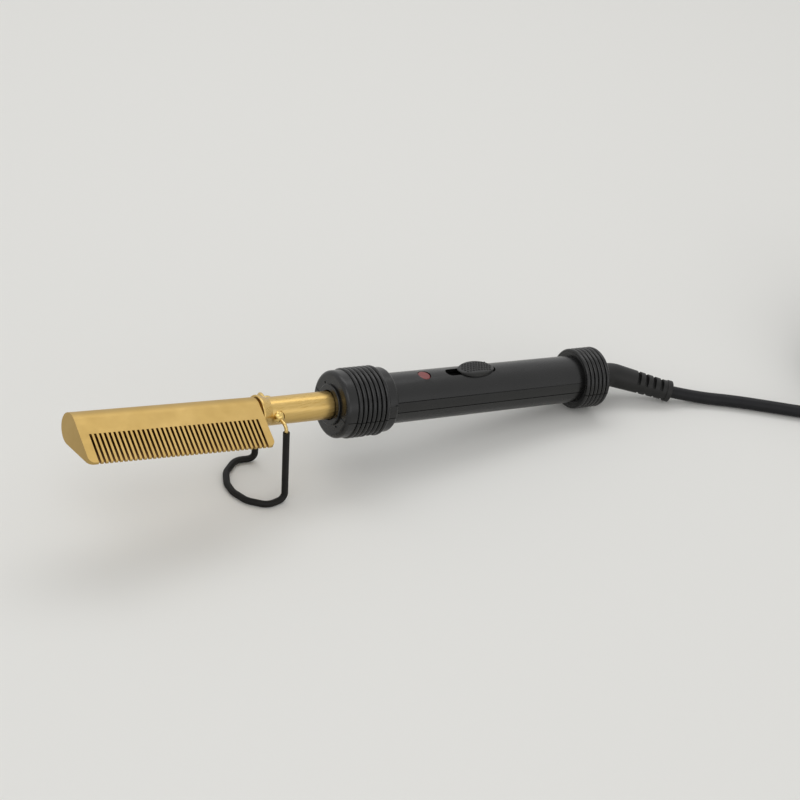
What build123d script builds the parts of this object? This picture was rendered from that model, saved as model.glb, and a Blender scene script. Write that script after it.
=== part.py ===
from build123d import *
import os
from math import asin, atan2, cos, degrees, hypot, radians, sin, sqrt, tan

os.makedirs("parts", exist_ok=True)

# An electric hot comb standing on its wire stand, in millimetres.
# Every piece is drawn in the handle's own frame: +X rearward along the handle's axis, +Y to the
# far side, +Z the switch side, with the origin in the middle of the handle's front face.
# At the end one turn about Y and one shift stand the whole comb on the surface z = 0.

# ---- fits ----
RUN_FIT = 0.05              # radial clearance of a running fit
SEAT_FIT = 0.02             # clearance of a piece that is clamped in its seat
CLEAR = 0.3                 # space between pieces that do not touch
HOLE_OVERRUN = 1.0          # how far a cutting tool runs past the face it leaves

# ---- comb head and barrel ----
COMB_REAR_X = -43.4         # rear face of the comb
COMB_LENGTH = 97.8
COMB_BACK_R = 7.7           # round back
COMB_RISE = 1.4             # degrees that the comb is brazed nose up on the barrel
COMB_ROLL = 4.0             # degrees that its teeth are turned down
COMB_REACH = 25.2           # from the axis to the tips of the teeth
COMB_EDGE_HALF = 0.6        # half the thickness at the tips
COMB_TIP_ROUND = 0.75 * COMB_EDGE_HALF
COMB_CORNER_R = 3.2         # of the tooth row, at both ends
SLOT_COUNT = 37
SLOT_WIDTH = 1.25
SLOT_ROOT = 10.3            # from the axis to the bottom of a slot
FRONT_MARGIN = 5.3          # from the comb's tip end to the first slot's middle
REAR_MARGIN = 4.6
SPIGOT_LENGTH = 6.0         # of the comb, inside the barrel
BARREL_R = 7.0
BARREL_WALL = 1.0
BARREL_GAP = 1.2            # between the comb's rear face and the barrel's flared mouth
BARREL_REAR_X = 30.0
FLARE_R = BARREL_R + 1.7
FLARE_LIP = 1.0
FLARE_LENGTH = 5.9
FLANGE_R = BARREL_R + 5.0
FLANGE_X = 9.0
FLANGE_THICKNESS = 1.5

# ---- heater ----
HEATER_R = 3.6
INSULATION_WALL = 1.0
HEATER_NOSE = 9.7           # solid comb ahead of the heater
HEATER_REAR_X = COMB_REAR_X - 1.3
LEAD_START_X = HEATER_REAR_X + 0.1
LEAD_R = 0.8
LEAD_SPACING = 5.0

# ---- handle shells ----
HANDLE_LENGTH = 164.0
FRONT_BAND_R = 16.9
FRONT_BAND_LENGTH = 6.4
FRONT_EDGE_ROUND = 2.2
FRONT_RIB_R = 17.6
FRONT_RIB_ROOT = 16.3
FRONT_RIB_COUNT = 7
FRONT_RIB_PITCH = 2.65
FRONT_FLANGE_R = 16.3
FRONT_COLLAR_LENGTH = 30.5
FLANGE_ROUND = 1.6
BODY_FRONT_R = 12.8
BODY_REAR_R = 12.3
REAR_COLLAR_LENGTH = 16.0
REAR_COLLAR_X = HANDLE_LENGTH - REAR_COLLAR_LENGTH
REAR_RIB_R = 15.9
REAR_RIB_ROOT = 14.9
REAR_RIB_COUNT = 6
REAR_RIB_PITCH = 2.55
REAR_EDGE_ROUND = 1.8
REAR_FRONT_ROUND = 1.2
RIB_BEAD_R = 1.15
SHELL_WALL = 2.2
FRONT_WALL = 3.0
BARREL_HOLE_R = BARREL_R + 0.6
HUB_R = BARREL_R + 3.3      # raised ring round the barrel, on the front face
HUB_RISE = 1.2
HUB_ROUND = 0.5
SEAM_WIDTH = 0.4
SEAM_DEPTH = 0.35
LINE_ANGLE = 25.0           # of the upper groove, above the parting plane
LINE_WIDTH = 0.5
LINE_NOTCH = 1.4
VENT_R = 0.6                # pin holes in the front face
VENT_RING_R = HUB_R + 1.3
VENT_ANGLES = (40.0, 215.0)
SEAT_RIB = 1.4              # ribs that hold the barrel
REAR_SEAT_X = BARREL_REAR_X - 4.0

# ---- screws ----
SCREW_R = 1.45
SCREW_CORE_R = 1.2
SCREW_HEAD_R = 2.6
SCREW_HEAD_HEIGHT = 1.8
SCREW_DRIVE_R = 1.3
SCREW_DRIVE_DEPTH = 1.0
BOSS_R = 2.9
LOWER_BOSS_R = 3.6
HEAD_SEAT_Z = -6.0
SCREW_TOP_Z = 6.0
FRONT_SCREW_X = 20.0
FRONT_SCREW_Y = BARREL_R + LOWER_BOSS_R + 0.2
REAR_SCREW_X = HANDLE_LENGTH - 38.0

# ---- circuit board and what is on it ----
BOARD_X = 46.0
BOARD_LENGTH = REAR_SCREW_X - LOWER_BOSS_R - 4.4 - BOARD_X
BOARD_THICKNESS = 1.6
BOARD_TOP_Z = -2.0
BOARD_GAP = 0.6             # from the board's lower edges to the shell
LEDGE_LAP = 1.6             # of the board on each ledge
LEDGE_HEIGHT = 2.4
CAVITY_R = BODY_REAR_R - SHELL_WALL
BOARD_WIDTH = 2 * (sqrt(CAVITY_R ** 2 - (BOARD_TOP_Z - BOARD_THICKNESS) ** 2) - BOARD_GAP)
LEDGE_INNER_Y = BOARD_WIDTH / 2 - LEDGE_LAP
LAMP_X = 52.0
LAMP_R = 3.5
LAMP_FLANGE_R = 4.6
LAMP_FLANGE = 1.0
LAMP_RECESS = 0.3           # of the lens's crown, below the shell's surface
NEON_R = 2.2
RESISTOR_R = 1.2
RESISTOR_LENGTH = 6.6
RESISTOR_X = 60.0
RESISTOR_Y = 5.4
FUSE_R = 2.0
FUSE_LENGTH = 11.0
FUSE_X = 57.0
FUSE_Y = -5.4

# ---- switch ----
KNOB_X = 83.3
KNOB_LENGTH = 21.8
KNOB_WIDTH = 10.4
KNOB_HEIGHT = 2.2           # above the shell's surface
KNOB_CROWN_R = 46.0
KNOB_EDGE_ROUND = 0.7
KNOB_TRAVEL = 6.0
KNOB_LIFT = 0.25
SWITCH_SLOT_WIDTH = 5.6
SWITCH_SLOT_SPARE = 1.2     # of the slot beyond the knob at each end of its travel
STEM_LENGTH = 8.0
STEM_WIDTH = 4.4
STEM_BITE = 1.2             # of the stem, up into the knob
PLATE_WIDTH = 8.0
PLATE_THICKNESS = 1.2
PLATE_TOP_Z = sqrt(CAVITY_R ** 2 - (PLATE_WIDTH / 2) ** 2) - CLEAR
LEVER_LENGTH = 3.0
LEVER_WIDTH = 1.8
LEVER_DEPTH = 2.6           # of the lever, inside the switch
SWITCH_LENGTH = 20.0
SWITCH_WIDTH = 8.0
SWITCH_HEIGHT = 6.4

# ---- stand ----
EYELET_R = 3.1
EYELET_DOME = 2.3
EYELET_STEM_R = 2.0
PIVOT_X = COMB_REAR_X + BARREL_GAP + FLARE_LENGTH + EYELET_R + 0.4
PIVOT_Z = 1.0               # of the eyelets, above the barrel's axis
WIRE_R = 0.9
SLEEVE_R = WIRE_R + 0.8
WIRE_END_Y = BARREL_R - BARREL_WALL - 1.2
SHOULDER_Y = BARREL_R + EYELET_DOME + 5.5
SHOULDER_BEND = 3.0
CORNER = (8.9, 16.7, -42.0)                            # of a leg, from the barrel's axis at the pivot
CORNER_BEND = 3.4
FOOT_POINTS = ((10.0, 18.6), (18.4, 11.6), (21.8, 3.4))  # forward of the corner, and sideways
FOOT_BENDS = (8.0, 9.0, 8.0)
SLEEVE_START = 0.08         # share of the leg that the sleeve leaves bare

# ---- swivel and strain relief ----
NECK_R = 6.3
HEAD_R = NECK_R + 2.2
HEAD_LENGTH = 3.0
BUSH_R = NECK_R + 2.5
BUSH_FLANGE_R = CAVITY_R - CLEAR
BUSH_FLANGE = 1.8
END_WALL = 4.0
END_PLAY = 0.2              # of the head, along the axis
HEAD_X = HANDLE_LENGTH - END_WALL - BUSH_FLANGE - END_PLAY - HEAD_LENGTH
CONTACT_RING_R = 4.0
CONTACT_RING = 4.0
CONTACT_PIN_R = 1.5
CONTACT_PIN = 6.0
BLOCK_X = HEAD_X - 14.0
NECK_END_X = HANDLE_LENGTH + 9.0
BEND_R = 10.0
BEND_ANGLE = 29.5
BEND_ROLL = 10.0            # of the bend, from sideways towards down
RELIEF_LENGTH = 31.5
RELIEF_END_R = 5.2
RELIEF_RING_R = RELIEF_END_R + 0.6
RELIEF_RING = 2.9
RELIEF_SLOTS = 4
RELIEF_SLOT = 1.9
RELIEF_SLOT_PITCH = 4.4
RELIEF_SLOT_START = 13.3
RELIEF_SPINE = 2.4          # half of the spine between the slots

# ---- mains cord, coil and plug, in the standing frame ----
CORD_R = 3.3
CORD_REST = 0.15            # of the cord above the surface
CORD_POINTS = ((184.3, -20.4), (202.8, -30.6), (233.2, -52.2), (272.2, -78.4))
COIL_X = 305.3
COIL_Y = -45.3
COIL_MIDDLE_R = 39.4
COIL_COLUMNS = 3
COIL_LAYERS = 4
COIL_PITCH = 2 * CORD_R
COIL_ROUND = 3.0
TIE_WIDTH = 9.0
TIE_THICKNESS = 1.2
TIE_ANGLE = 150.0
TAIL_ANGLE = -130.0         # round the coil, where the cord leaves its top turn for the plug
TAIL_STEPS = ((13.0, 0.0, 25.0), (29.4, 7.3, 28.6), (40.1, 23.1, 30.6),   # ahead of there, inward
              (40.1, 42.1, 33.2), (30.5, 57.3, 36.3), (22.5, 64.1, 36.8))  # and above the surface
TAIL_TURN = 140.0           # of the cord, from there to the plug
PLUG_REST = 0.05            # of the plug above the coil
PLUG_BOSS = 12.0
PLUG_BOSS_R = 5.6
PLUG_LENGTH = 50.0
PLUG_WIDTH = 48.6
PLUG_HEIGHT = 20.4
PLUG_CORNER = 11.0
PLUG_ROUND = 3.0
PLUG_PLATE = 3.0            # pin plate, screwed under the moulded cover
PIN_PITCH = 22.2            # across the two lower pins, and from them to the earth pin
PIN_EARTH = (8.0, 4.0, 22.7)
PIN_LIVE = (4.0, 6.35, 17.7)
PIN_ROOT = 6.0
PIN_CHAMFER = 1.0
PIN_EARTH_END = 12.6        # from the plug's far end to the earth pin's middle
FUSE_TUBE_R = 3.15
FUSE_TUBE_LENGTH = 25.4
FUSE_HOLDER = (30.0, 8.4, 2.2)


def outline(points):
    """Closed flat face in the X-radius plane."""
    return make_face(Polyline(points, close=True))


def nearest(sketch, x, y):
    """Corner of a flat face that is nearest to a point."""
    return sketch.vertices().sort_by_distance((x, y, 0))[0]


def turned(points, rounds=()):
    """Solid turned about the X axis from (x, radius) points; rounds are (x, radius, fillet)."""
    profile = outline(points)
    for x, y, radius in rounds:
        profile = fillet(nearest(profile, x, y), radius)
    return revolve(profile, Axis.X)


def rod(x0, x1, radius, y=0.0, z=0.0):
    """Cylinder along X from x0 to x1."""
    return Pos((x0 + x1) / 2, y, z) * Rot(Y=90) * Cylinder(radius, abs(x1 - x0))


def post(z0, z1, radius, x=0.0, y=0.0):
    """Cylinder along Z from z0 to z1."""
    return Pos(x, y, (z0 + z1) / 2) * Cylinder(radius, abs(z1 - z0))


def block(x0, x1, y0, y1, z0, z1):
    """Box between six faces."""
    return Pos((x0 + x1) / 2, (y0 + y1) / 2, (z0 + z1) / 2) * Box(x1 - x0, y1 - y0, z1 - z0)


# ---- comb head: a round back that holds the heater, and two flats that run together to the teeth ----
COMB_TIP_X = COMB_REAR_X - COMB_LENGTH
COMB_BORE_R = HEATER_R + INSULATION_WALL + SEAT_FIT
HEATER_TIP_X = COMB_TIP_X + HEATER_NOSE
BARREL_BORE_R = BARREL_R - BARREL_WALL


def comb_place():
    """Turn of the comb and heater about the middle of the comb's rear face."""
    return Pos(COMB_REAR_X, 0, 0) * Rot(X=COMB_ROLL) * Rot(Y=COMB_RISE) * Pos(-COMB_REAR_X, 0, 0)


def comb_half_angle():
    """Angle of a flat to the middle plane, tangent to the back and reaching the tip's half thickness."""
    span = hypot(COMB_REACH, COMB_EDGE_HALF)
    return asin(COMB_BACK_R / span) - atan2(COMB_EDGE_HALF, COMB_REACH)


def comb_section():
    """Teardrop section in the Y-Z plane, teeth towards -Y, drawn with local x along +Y."""
    slope = comb_half_angle()
    touch_y = -COMB_BACK_R * sin(slope)
    touch_z = COMB_BACK_R * cos(slope)
    wedge = make_face(Polyline((touch_y, -touch_z), (touch_y, touch_z), (-COMB_REACH, COMB_EDGE_HALF),
                               (-COMB_REACH, -COMB_EDGE_HALF), close=True))
    for side in (1, -1):
        wedge = fillet(nearest(wedge, -COMB_REACH, side * COMB_EDGE_HALF), COMB_TIP_ROUND)
    return wedge + Circle(COMB_BACK_R)


def comb_head():
    """Cast comb with its teeth sawn through, a heater bore and a spigot for the barrel."""
    blank = Pos(COMB_TIP_X, 0, 0) * extrude(Plane.YZ * comb_section(), COMB_LENGTH)
    blank = blank & comb_outline()
    first = COMB_TIP_X + FRONT_MARGIN
    pitch = (COMB_LENGTH - FRONT_MARGIN - REAR_MARGIN) / (SLOT_COUNT - 1)
    middles = [first + pitch * i for i in range(SLOT_COUNT)]
    reach = COMB_REACH + HOLE_OVERRUN
    slots = [block(x - SLOT_WIDTH / 2, x + SLOT_WIDTH / 2, -reach, -SLOT_ROOT,
                   -COMB_BACK_R, COMB_BACK_R) for x in middles]
    spigot = rod(COMB_REAR_X - HOLE_OVERRUN, COMB_REAR_X + SPIGOT_LENGTH, BARREL_BORE_R - SEAT_FIT)
    bore = rod(HEATER_TIP_X - CLEAR, COMB_REAR_X + SPIGOT_LENGTH + HOLE_OVERRUN, COMB_BORE_R)
    return comb_place() * (blank - slots) + spigot - comb_place() * bore


def comb_outline():
    """Comb seen along Z, with the tooth row's two corners rounded."""
    plate = Pos(COMB_TIP_X + COMB_LENGTH / 2, (COMB_BACK_R - COMB_REACH) / 2, 0)
    plate = plate * Box(COMB_LENGTH, COMB_REACH + COMB_BACK_R, 4 * COMB_BACK_R)
    return fillet(plate.edges().filter_by(Axis.Z).group_by(Axis.Y)[0], COMB_CORNER_R)


def heater_element():
    return comb_place() * rod(HEATER_TIP_X, HEATER_REAR_X, HEATER_R)


def heater_insulation():
    sleeve = rod(HEATER_TIP_X, HEATER_REAR_X, HEATER_R + INSULATION_WALL)
    return comb_place() * (sleeve - rod(HEATER_TIP_X - 1, HEATER_REAR_X + 1, HEATER_R + SEAT_FIT))


def heater_leads():
    """Two insulated wires from the heater, through the barrel, onto the circuit board."""
    z = BOARD_TOP_Z + LEAD_R
    end_x = BOARD_X + 4 * LEAD_R
    return [rod(LEAD_START_X, end_x, LEAD_R, side * LEAD_SPACING / 2, z) for side in (-1, 1)]


def barrel_tube():
    """Brass tube with a flared mouth at the comb and two side holes for the stand's eyelets."""
    front = COMB_REAR_X + BARREL_GAP
    outer = turned([(front, 0), (front, FLARE_R), (front + FLARE_LIP, FLARE_R),
                    (front + FLARE_LENGTH, BARREL_R), (BARREL_REAR_X, BARREL_R), (BARREL_REAR_X, 0)],
                   [(front, FLARE_R, FLARE_LIP / 2), (front + FLARE_LIP, FLARE_R, FLARE_LIP / 2)])
    bore = rod(front - HOLE_OVERRUN, BARREL_REAR_X + HOLE_OVERRUN, BARREL_BORE_R)
    side_hole = Pos(PIVOT_X, 0, PIVOT_Z) * Rot(X=90) * Cylinder(EYELET_STEM_R, 4 * BARREL_R)
    return outer - bore - side_hole


def barrel_flange():
    """Steel ring brazed on the barrel, trapped between two ribs of the shells."""
    disc = rod(FLANGE_X, FLANGE_X + FLANGE_THICKNESS, FLANGE_R)
    return disc - rod(FLANGE_X - 1, FLANGE_X + FLANGE_THICKNESS + 1, BARREL_R + SEAT_FIT)


# ---- handle shells: one turned form, hollowed and split on the parting plane ----
def body_radius(x):
    """Outer radius of the handle's grip at x."""
    share = (x - FRONT_COLLAR_LENGTH) / (REAR_COLLAR_X - FRONT_COLLAR_LENGTH)
    return BODY_FRONT_R + (BODY_REAR_R - BODY_FRONT_R) * share


def bead_row(first_x, count, pitch, crest_r):
    """Round beads in the X-radius plane, which turn into ribs."""
    return [Pos(first_x + pitch * i, crest_r - RIB_BEAD_R) * Circle(RIB_BEAD_R) for i in range(count)]


def handle_form():
    """Outside of the handle: ribbed front collar, tapered grip and ribbed rear collar."""
    front_ribs_x = FRONT_BAND_LENGTH + FRONT_RIB_PITCH / 2
    front_ribs_end = front_ribs_x + FRONT_RIB_PITCH * (FRONT_RIB_COUNT - 0.5)
    rear_ribs_x = HANDLE_LENGTH - REAR_RIB_PITCH * (REAR_RIB_COUNT - 0.2)
    points = [(-HUB_RISE, 0), (-HUB_RISE, HUB_R), (0, HUB_R), (0, FRONT_BAND_R),
              (FRONT_BAND_LENGTH, FRONT_BAND_R),
              (FRONT_BAND_LENGTH, FRONT_RIB_ROOT), (front_ribs_end, FRONT_RIB_ROOT),
              (FRONT_COLLAR_LENGTH, FRONT_FLANGE_R), (FRONT_COLLAR_LENGTH, BODY_FRONT_R),
              (REAR_COLLAR_X, BODY_REAR_R), (REAR_COLLAR_X, REAR_RIB_ROOT),
              (HANDLE_LENGTH, REAR_RIB_ROOT), (HANDLE_LENGTH, 0)]
    profile = outline(points)
    rounds = ((-HUB_RISE, HUB_R, HUB_ROUND),
              (0, FRONT_BAND_R, FRONT_EDGE_ROUND),
              (FRONT_BAND_LENGTH, FRONT_BAND_R, FLANGE_ROUND / 4),
              (FRONT_COLLAR_LENGTH, FRONT_FLANGE_R, FLANGE_ROUND),
              (REAR_COLLAR_X, REAR_RIB_ROOT, REAR_FRONT_ROUND),
              (HANDLE_LENGTH, REAR_RIB_ROOT, REAR_EDGE_ROUND))
    for x, y, radius in rounds:
        profile = fillet(nearest(profile, x, y), radius)
    profile = profile + bead_row(front_ribs_x, FRONT_RIB_COUNT, FRONT_RIB_PITCH, FRONT_RIB_R)
    profile = profile + bead_row(rear_ribs_x, REAR_RIB_COUNT, REAR_RIB_PITCH, REAR_RIB_R)
    return revolve(profile, Axis.X)


def handle_cavity():
    """Space inside the shells, without the ribs, bosses and ledges that are added to it."""
    collar_r = FRONT_RIB_ROOT - SHELL_WALL
    collar_end = FRONT_COLLAR_LENGTH - SHELL_WALL
    end_wall_x = HANDLE_LENGTH - END_WALL
    cavity = turned([(FRONT_WALL, 0), (FRONT_WALL, collar_r), (collar_end, collar_r),
                     (collar_end, BODY_FRONT_R - SHELL_WALL), (end_wall_x, BODY_REAR_R - SHELL_WALL),
                     (end_wall_x, 0)])
    mouth = rod(-HUB_RISE - HOLE_OVERRUN, FRONT_WALL + HOLE_OVERRUN, BARREL_HOLE_R)
    tail = rod(end_wall_x - HOLE_OVERRUN, HANDLE_LENGTH + HOLE_OVERRUN, BUSH_R + SEAT_FIT)
    return cavity + mouth + tail


def mid_wall_form():
    """Solid form out to the middle of the shells' wall, which trims what stands on the inside."""
    half_wall = SHELL_WALL / 2
    front_x = FRONT_WALL / 2
    collar_r = FRONT_RIB_ROOT - half_wall
    collar_end = FRONT_COLLAR_LENGTH - half_wall
    rear_x = HANDLE_LENGTH - END_WALL / 2
    return turned([(front_x, 0), (front_x, collar_r), (collar_end, collar_r),
                   (collar_end, BODY_FRONT_R - half_wall), (rear_x, BODY_REAR_R - half_wall), (rear_x, 0)])


def seat_ribs(form):
    """Ring ribs that hold the barrel and its flange, and the cross wall behind the contact block."""
    walls = []
    barrel_seats = (FLANGE_X - SEAT_RIB - SEAT_FIT, FLANGE_X + FLANGE_THICKNESS + SEAT_FIT, REAR_SEAT_X)
    for x in barrel_seats:
        walls.append(rod(x, x + SEAT_RIB, FRONT_RIB_ROOT) - rod(x - 1, x + SEAT_RIB + 1, BARREL_R + SEAT_FIT))
    wall_x = BLOCK_X - SEAT_RIB - SEAT_FIT
    opening = rod(wall_x - 1, wall_x + SEAT_RIB + 1, LEDGE_INNER_Y)
    walls.append(rod(wall_x, wall_x + SEAT_RIB, BODY_REAR_R) - opening)
    return [wall & form for wall in walls]


def screw_places():
    return [(FRONT_SCREW_X, FRONT_SCREW_Y), (FRONT_SCREW_X, -FRONT_SCREW_Y), (REAR_SCREW_X, 0.0)]


def groove_cutters():
    """Parting groove all round, and an upper groove on each side of the grip with a notch in the flange."""
    cutters = []
    far = FRONT_RIB_R + HOLE_OVERRUN
    spans = ((0, FRONT_BAND_LENGTH, FRONT_BAND_R), (FRONT_BAND_LENGTH, FRONT_COLLAR_LENGTH, FRONT_RIB_ROOT),
             (FRONT_COLLAR_LENGTH, REAR_COLLAR_X, BODY_REAR_R), (REAR_COLLAR_X, HANDLE_LENGTH, REAR_RIB_ROOT),
             (-HOLE_OVERRUN, SEAM_DEPTH, HUB_R), (-HUB_RISE - HOLE_OVERRUN, SEAM_DEPTH - HUB_RISE, 0))
    for side in (-1, 1):
        for x0, x1, surface_r in spans:
            y0, y1 = sorted((side * max(surface_r - SEAM_DEPTH, 0), side * far))
            cutters.append(block(x0, x1, y0, y1, -SEAM_WIDTH / 2, SEAM_WIDTH / 2))
        line = block(FRONT_COLLAR_LENGTH, REAR_COLLAR_X, -LINE_WIDTH / 2, LINE_WIDTH / 2,
                     BODY_REAR_R - SEAM_DEPTH, BODY_FRONT_R + SEAM_DEPTH)
        notch = block(FRONT_COLLAR_LENGTH - FLANGE_ROUND * 1.6, FRONT_COLLAR_LENGTH + SEAM_WIDTH,
                      -LINE_NOTCH / 2, LINE_NOTCH / 2, FRONT_FLANGE_R - LINE_NOTCH, far)
        turn = Rot(X=-side * (90 - LINE_ANGLE))
        cutters.extend([turn * line, turn * notch])
    return cutters


def vents():
    """Pin holes in the front wall."""
    holes = []
    for angle in VENT_ANGLES:
        y = VENT_RING_R * cos(radians(angle))
        z = VENT_RING_R * sin(radians(angle))
        holes.append(rod(-HOLE_OVERRUN, FRONT_WALL + HOLE_OVERRUN, VENT_R, y, z))
    return holes


def shell_half(form, side):
    """One half of the hollow handle, with its ring ribs; side is 1 for the upper half."""
    z0, z1 = sorted((0, side * 2 * FRONT_RIB_R))
    half = block(-HUB_RISE - 1, HANDLE_LENGTH + 1, -2 * FRONT_RIB_R, 2 * FRONT_RIB_R, z0, z1)
    hollow = handle_form() - handle_cavity() + seat_ribs(form)
    return (hollow & half) - groove_cutters() - vents()


def upper_shell():
    """Upper half, with the lamp hole, the switch slot and the screw bosses."""
    form = mid_wall_form()
    shell = shell_half(form, 1) + [post(0, FRONT_RIB_R, BOSS_R, x, y) & form for x, y in screw_places()]
    lamp_hole = post(BODY_REAR_R - 2 * SHELL_WALL, FRONT_RIB_R, LAMP_R + SEAT_FIT, LAMP_X)
    pilots = [post(-1, SCREW_TOP_Z + CLEAR, SCREW_CORE_R, x, y) for x, y in screw_places()]
    return shell - pilots - lamp_hole - switch_slot()


def switch_slot():
    """Round-ended slot that the stem slides in."""
    front = KNOB_X - KNOB_TRAVEL - KNOB_LENGTH / 2 - SWITCH_SLOT_SPARE
    rear = KNOB_X + KNOB_LENGTH / 2 + SWITCH_SLOT_SPARE
    round_r = SWITCH_SLOT_WIDTH / 2
    z0 = BODY_REAR_R - 2 * SHELL_WALL
    slot = block(front + round_r, rear - round_r, -round_r, round_r, z0, FRONT_RIB_R)
    ends = [post(z0, FRONT_RIB_R, round_r, x) for x in (front + round_r, rear - round_r)]
    return [slot] + ends


def lower_shell():
    """Lower half, with the board's ledges and the counterbored screw holes."""
    form = mid_wall_form()
    shell = shell_half(form, -1)
    board_under = BOARD_TOP_Z - BOARD_THICKNESS
    for side in (-1, 1):
        y0, y1 = sorted((side * LEDGE_INNER_Y, side * BODY_REAR_R))
        ledge = block(BOARD_X, BOARD_X + BOARD_LENGTH, y0, y1, board_under - LEDGE_HEIGHT, board_under)
        shell = shell + (ledge & form)
    shell = shell + [post(-FRONT_RIB_R, 0, LOWER_BOSS_R, x, y) & form for x, y in screw_places()]
    shanks = [post(HEAD_SEAT_Z - 1, 1, SCREW_R + RUN_FIT, x, y) for x, y in screw_places()]
    heads = [post(-FRONT_RIB_R - 1, HEAD_SEAT_Z, SCREW_HEAD_R + CLEAR, x, y) for x, y in screw_places()]
    return shell - heads - shanks


def shell_screws():
    """Three self-tapping screws with cross-recessed pan heads."""
    screws = []
    for x, y in screw_places():
        head = post(HEAD_SEAT_Z - SCREW_HEAD_HEIGHT, HEAD_SEAT_Z, SCREW_HEAD_R)
        head = fillet(head.edges().group_by(Axis.Z)[0], SCREW_HEAD_HEIGHT / 3)
        shank = post(HEAD_SEAT_Z, 0, SCREW_R)
        core = post(0, SCREW_TOP_Z, SCREW_CORE_R - SEAT_FIT)
        low = HEAD_SEAT_Z - SCREW_HEAD_HEIGHT
        arm = SCREW_DRIVE_R / 4
        drive = [block(-SCREW_DRIVE_R, SCREW_DRIVE_R, -arm, arm, low - 1, low + SCREW_DRIVE_DEPTH),
                 block(-arm, arm, -SCREW_DRIVE_R, SCREW_DRIVE_R, low - 1, low + SCREW_DRIVE_DEPTH)]
        screws.append(Pos(x, y, 0) * (head + shank + core - drive))
    return screws


# ---- circuit board, lamp and fuse ----
def circuit_board():
    return block(BOARD_X, BOARD_X + BOARD_LENGTH, -BOARD_WIDTH / 2, BOARD_WIDTH / 2,
                 BOARD_TOP_Z - BOARD_THICKNESS, BOARD_TOP_Z)


def roof_z(y):
    """Height of the cavity's roof above the axis at the lamp, a distance y off the middle."""
    roof_r = body_radius(LAMP_X) - SHELL_WALL
    return sqrt(roof_r ** 2 - y ** 2)


def lamp_lens():
    """Red lens, held from below by its flange."""
    crown_z = body_radius(LAMP_X) - LAMP_RECESS
    flange_top = roof_z(LAMP_FLANGE_R) - SEAT_FIT
    lens = post(flange_top, crown_z, LAMP_R)
    lens = fillet(lens.edges().group_by(Axis.Z)[-1], LAMP_R / 4)
    lens = lens + post(flange_top - LAMP_FLANGE, flange_top, LAMP_FLANGE_R)
    return Pos(LAMP_X, 0, 0) * lens


def neon_lamp():
    """Glass bulb on the board, under the lens."""
    top = roof_z(LAMP_FLANGE_R) - LAMP_FLANGE - CLEAR
    bulb = post(BOARD_TOP_Z, top, NEON_R)
    return Pos(LAMP_X, 0, 0) * fillet(bulb.edges().group_by(Axis.Z)[-1], NEON_R * 0.8)


def lamp_resistor():
    return rod(RESISTOR_X, RESISTOR_X + RESISTOR_LENGTH, RESISTOR_R, RESISTOR_Y, BOARD_TOP_Z + RESISTOR_R)


def thermal_fuse():
    case = rod(FUSE_X, FUSE_X + FUSE_LENGTH, FUSE_R, FUSE_Y, BOARD_TOP_Z + FUSE_R)
    return chamfer(case.edges(), FUSE_R / 5)


# ---- slide switch: knob outside, carriage inside, and the switch on the board ----
def switch_body():
    """Switch on the board, with a trough in its top for the carriage's lever."""
    middle = KNOB_X - KNOB_TRAVEL / 2
    top = BOARD_TOP_Z + SWITCH_HEIGHT
    case = block(middle - SWITCH_LENGTH / 2, middle + SWITCH_LENGTH / 2, -SWITCH_WIDTH / 2,
                 SWITCH_WIDTH / 2, BOARD_TOP_Z, top)
    reach = (KNOB_TRAVEL + LEVER_LENGTH) / 2 + CLEAR
    trough = block(middle - reach, middle + reach, -LEVER_WIDTH / 2 - CLEAR, LEVER_WIDTH / 2 + CLEAR,
                   top - LEVER_DEPTH - CLEAR, top + 1)
    return case - trough


def switch_carriage():
    """Cover plate under the slot, with a stem up to the knob and a lever down to the switch."""
    reach = (KNOB_LENGTH + KNOB_TRAVEL) / 2 + SWITCH_SLOT_SPARE + CLEAR
    plate = block(-reach, reach, -PLATE_WIDTH / 2, PLATE_WIDTH / 2,
                  PLATE_TOP_Z - PLATE_THICKNESS, PLATE_TOP_Z)
    stem = block(-STEM_LENGTH / 2, STEM_LENGTH / 2, -STEM_WIDTH / 2, STEM_WIDTH / 2,
                 PLATE_TOP_Z, stem_top_z())
    switch_top = BOARD_TOP_Z + SWITCH_HEIGHT
    lever = block(-LEVER_LENGTH / 2, LEVER_LENGTH / 2, -LEVER_WIDTH / 2, LEVER_WIDTH / 2,
                  switch_top - LEVER_DEPTH, PLATE_TOP_Z)
    return Pos(KNOB_X, 0, 0) * (plate + stem + lever)


def stem_top_z():
    return body_radius(KNOB_X) + KNOB_LIFT + STEM_BITE


def switch_knob():
    """Oval thumb slide, its underside hollowed to follow the grip."""
    top_z = body_radius(KNOB_X) + KNOB_HEIGHT
    oval = Ellipse(KNOB_LENGTH / 2, KNOB_WIDTH / 2)
    knob = Pos(0, 0, BODY_REAR_R / 2) * extrude(oval, top_z - BODY_REAR_R / 2)
    crown = Pos(0, 0, top_z - KNOB_CROWN_R) * Sphere(KNOB_CROWN_R)
    knob = knob & crown
    rim = [edge for edge in knob.edges() if edge.center().Z > BODY_REAR_R and edge.geom_type != GeomType.LINE]
    knob = fillet(rim, KNOB_EDGE_ROUND)
    grip = Rot(Y=90) * Cylinder(body_radius(KNOB_X) + KNOB_LIFT, 2 * KNOB_LENGTH)
    pocket = block(-STEM_LENGTH / 2, STEM_LENGTH / 2, -STEM_WIDTH / 2, STEM_WIDTH / 2, 0, stem_top_z())
    return Pos(KNOB_X, 0, 0) * (knob - grip - pocket)


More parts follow.
